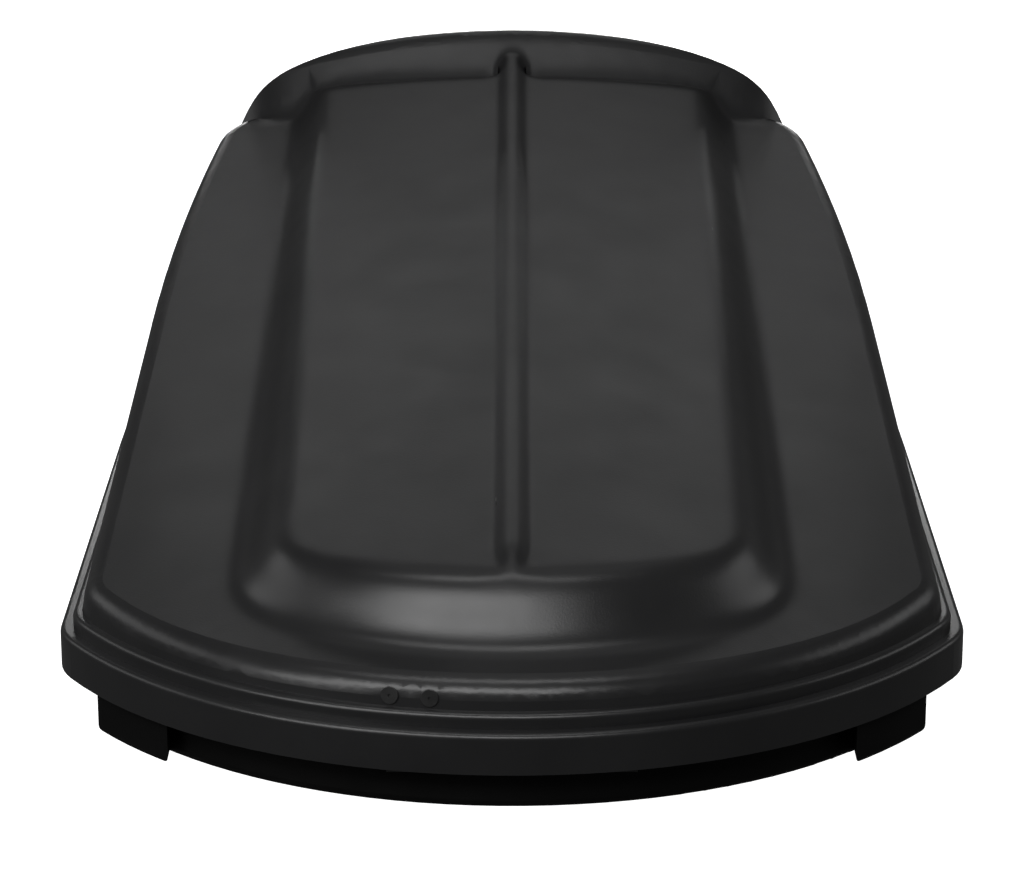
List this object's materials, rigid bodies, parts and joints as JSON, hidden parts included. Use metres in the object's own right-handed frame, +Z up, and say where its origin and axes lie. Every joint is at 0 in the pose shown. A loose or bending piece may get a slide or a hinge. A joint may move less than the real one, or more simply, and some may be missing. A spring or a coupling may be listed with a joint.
{
  "type": "roof cargo box",
  "caption": "Rear-opening hard-shell roof cargo box with a front-hinged wedge lid, a raised panel with a centre rib, gas struts, a rear key lock and slotted floor rails.",
  "frame": {"origin": "on the ground plane under the middle of the closed box", "axes": "+X across the box to the right seen from the front, +Y from the hinged front to the rear opening, +Z up"},
  "size_m": [0.965, 1.5996, 0.483],
  "materials": {
    "lid_plastic": "satin black ABS sheet with a fine leather grain",
    "base_plastic": "dull black moulded plastic",
    "rubber_trim": "matt black rubber",
    "zinc_steel": "bright zinc plated sheet steel",
    "black_steel": "black powder coat",
    "pin_steel": "plain steel",
    "rivet_aluminium": "plain aluminium",
    "black_rivet": "black painted aluminium, satin",
    "stiffener_plastic": "matt dark plastic",
    "lock_black": "satin black moulded plastic",
    "lock_chrome": "polished zinc casting",
    "tube_paint": "gloss black paint",
    "rod_chrome": "polished hard chrome",
    "eye_plastic": "black nylon"
  },
  "bodies": {
    "base": {"base_shell": "base_plastic", "base_seal": "rubber_trim", "base_rail_left": "zinc_steel", "base_rail_right": "zinc_steel", "rail_rivets": "rivet_aluminium", "hinge_leaf_base_left": "black_steel", "hinge_leaf_base_right": "black_steel", "hinge_pin_left": "pin_steel", "hinge_pin_right": "pin_steel", "hinge_rivets_base": "rivet_aluminium", "strut_bracket_base_left": "zinc_steel", "strut_bracket_base_right": "zinc_steel", "strut_bracket_rivets": "rivet_aluminium", "striker": "zinc_steel", "striker_rivets": "rivet_aluminium"},
    "lid": {"lid_shell": "lid_plastic", "lid_stiffener_front": "stiffener_plastic", "lid_stiffener_rear": "stiffener_plastic", "hinge_pad_left": "lid_plastic", "hinge_pad_right": "lid_plastic", "hinge_leaf_lid_left": "black_steel", "hinge_leaf_lid_right": "black_steel", "hinge_screws_lid": "pin_steel", "hinge_flange_rivets": "black_rivet", "strut_pad_left": "lid_plastic", "strut_pad_right": "lid_plastic", "strut_bracket_lid_left": "zinc_steel", "strut_bracket_lid_right": "zinc_steel", "lock_housing": "lock_black", "lock_nut": "lock_black"},
    "lock": {"lock_plug": "lock_chrome", "lock_cam": "pin_steel", "lock_screw": "pin_steel"},
    "strut_left_tube": {"strut_tube_left": "tube_paint"},
    "strut_right_tube": {"strut_tube_right": "tube_paint"},
    "strut_left_rod": {"strut_rod_left": "rod_chrome", "strut_eye_left": "eye_plastic"},
    "strut_right_rod": {"strut_rod_right": "rod_chrome", "strut_eye_right": "eye_plastic"}
  },
  "joints": [
    {"name": "lid_hinge", "type": "hinge", "parent": "base", "child": "lid", "pos_m": [0, -0.771, 0.066], "axis": [1, 0, 0], "range_deg": [0, 35]},
    {"name": "lock_turn", "type": "hinge", "parent": "lid", "child": "lock", "pos_m": [0, 0.77665, 0.14], "axis": [0, -0.9989, -0.046], "range_deg": [0, 90]},
    {"name": "strut_left_pivot", "type": "hinge", "parent": "base", "child": "strut_left_tube", "pos_m": [-0.225, -0.68, 0.032], "axis": [1, 0, 0], "range_deg": [0, 37.7]},
    {"name": "strut_left_slide", "type": "slide", "parent": "strut_left_tube", "child": "strut_left_rod", "axis": [0, 0.7766, 0.6299], "range_m": [0, 0.0573]},
    {"name": "strut_right_pivot", "type": "hinge", "parent": "base", "child": "strut_right_tube", "pos_m": [0.225, -0.68, 0.032], "axis": [1, 0, 0], "range_deg": [0, 37.7]},
    {"name": "strut_right_slide", "type": "slide", "parent": "strut_right_tube", "child": "strut_right_rod", "axis": [0, 0.7766, 0.6299], "range_m": [0, 0.0573]}
  ],
  "couplings": [
    {"joint": "strut_left_pivot", "follows": "lid_hinge", "ratio": 1.0743},
    {"joint": "strut_left_slide", "follows": "lid_hinge", "m_per_rad": 0.093689},
    {"joint": "strut_right_pivot", "follows": "lid_hinge", "ratio": 1.0743},
    {"joint": "strut_right_slide", "follows": "lid_hinge", "m_per_rad": 0.093689}
  ]
}
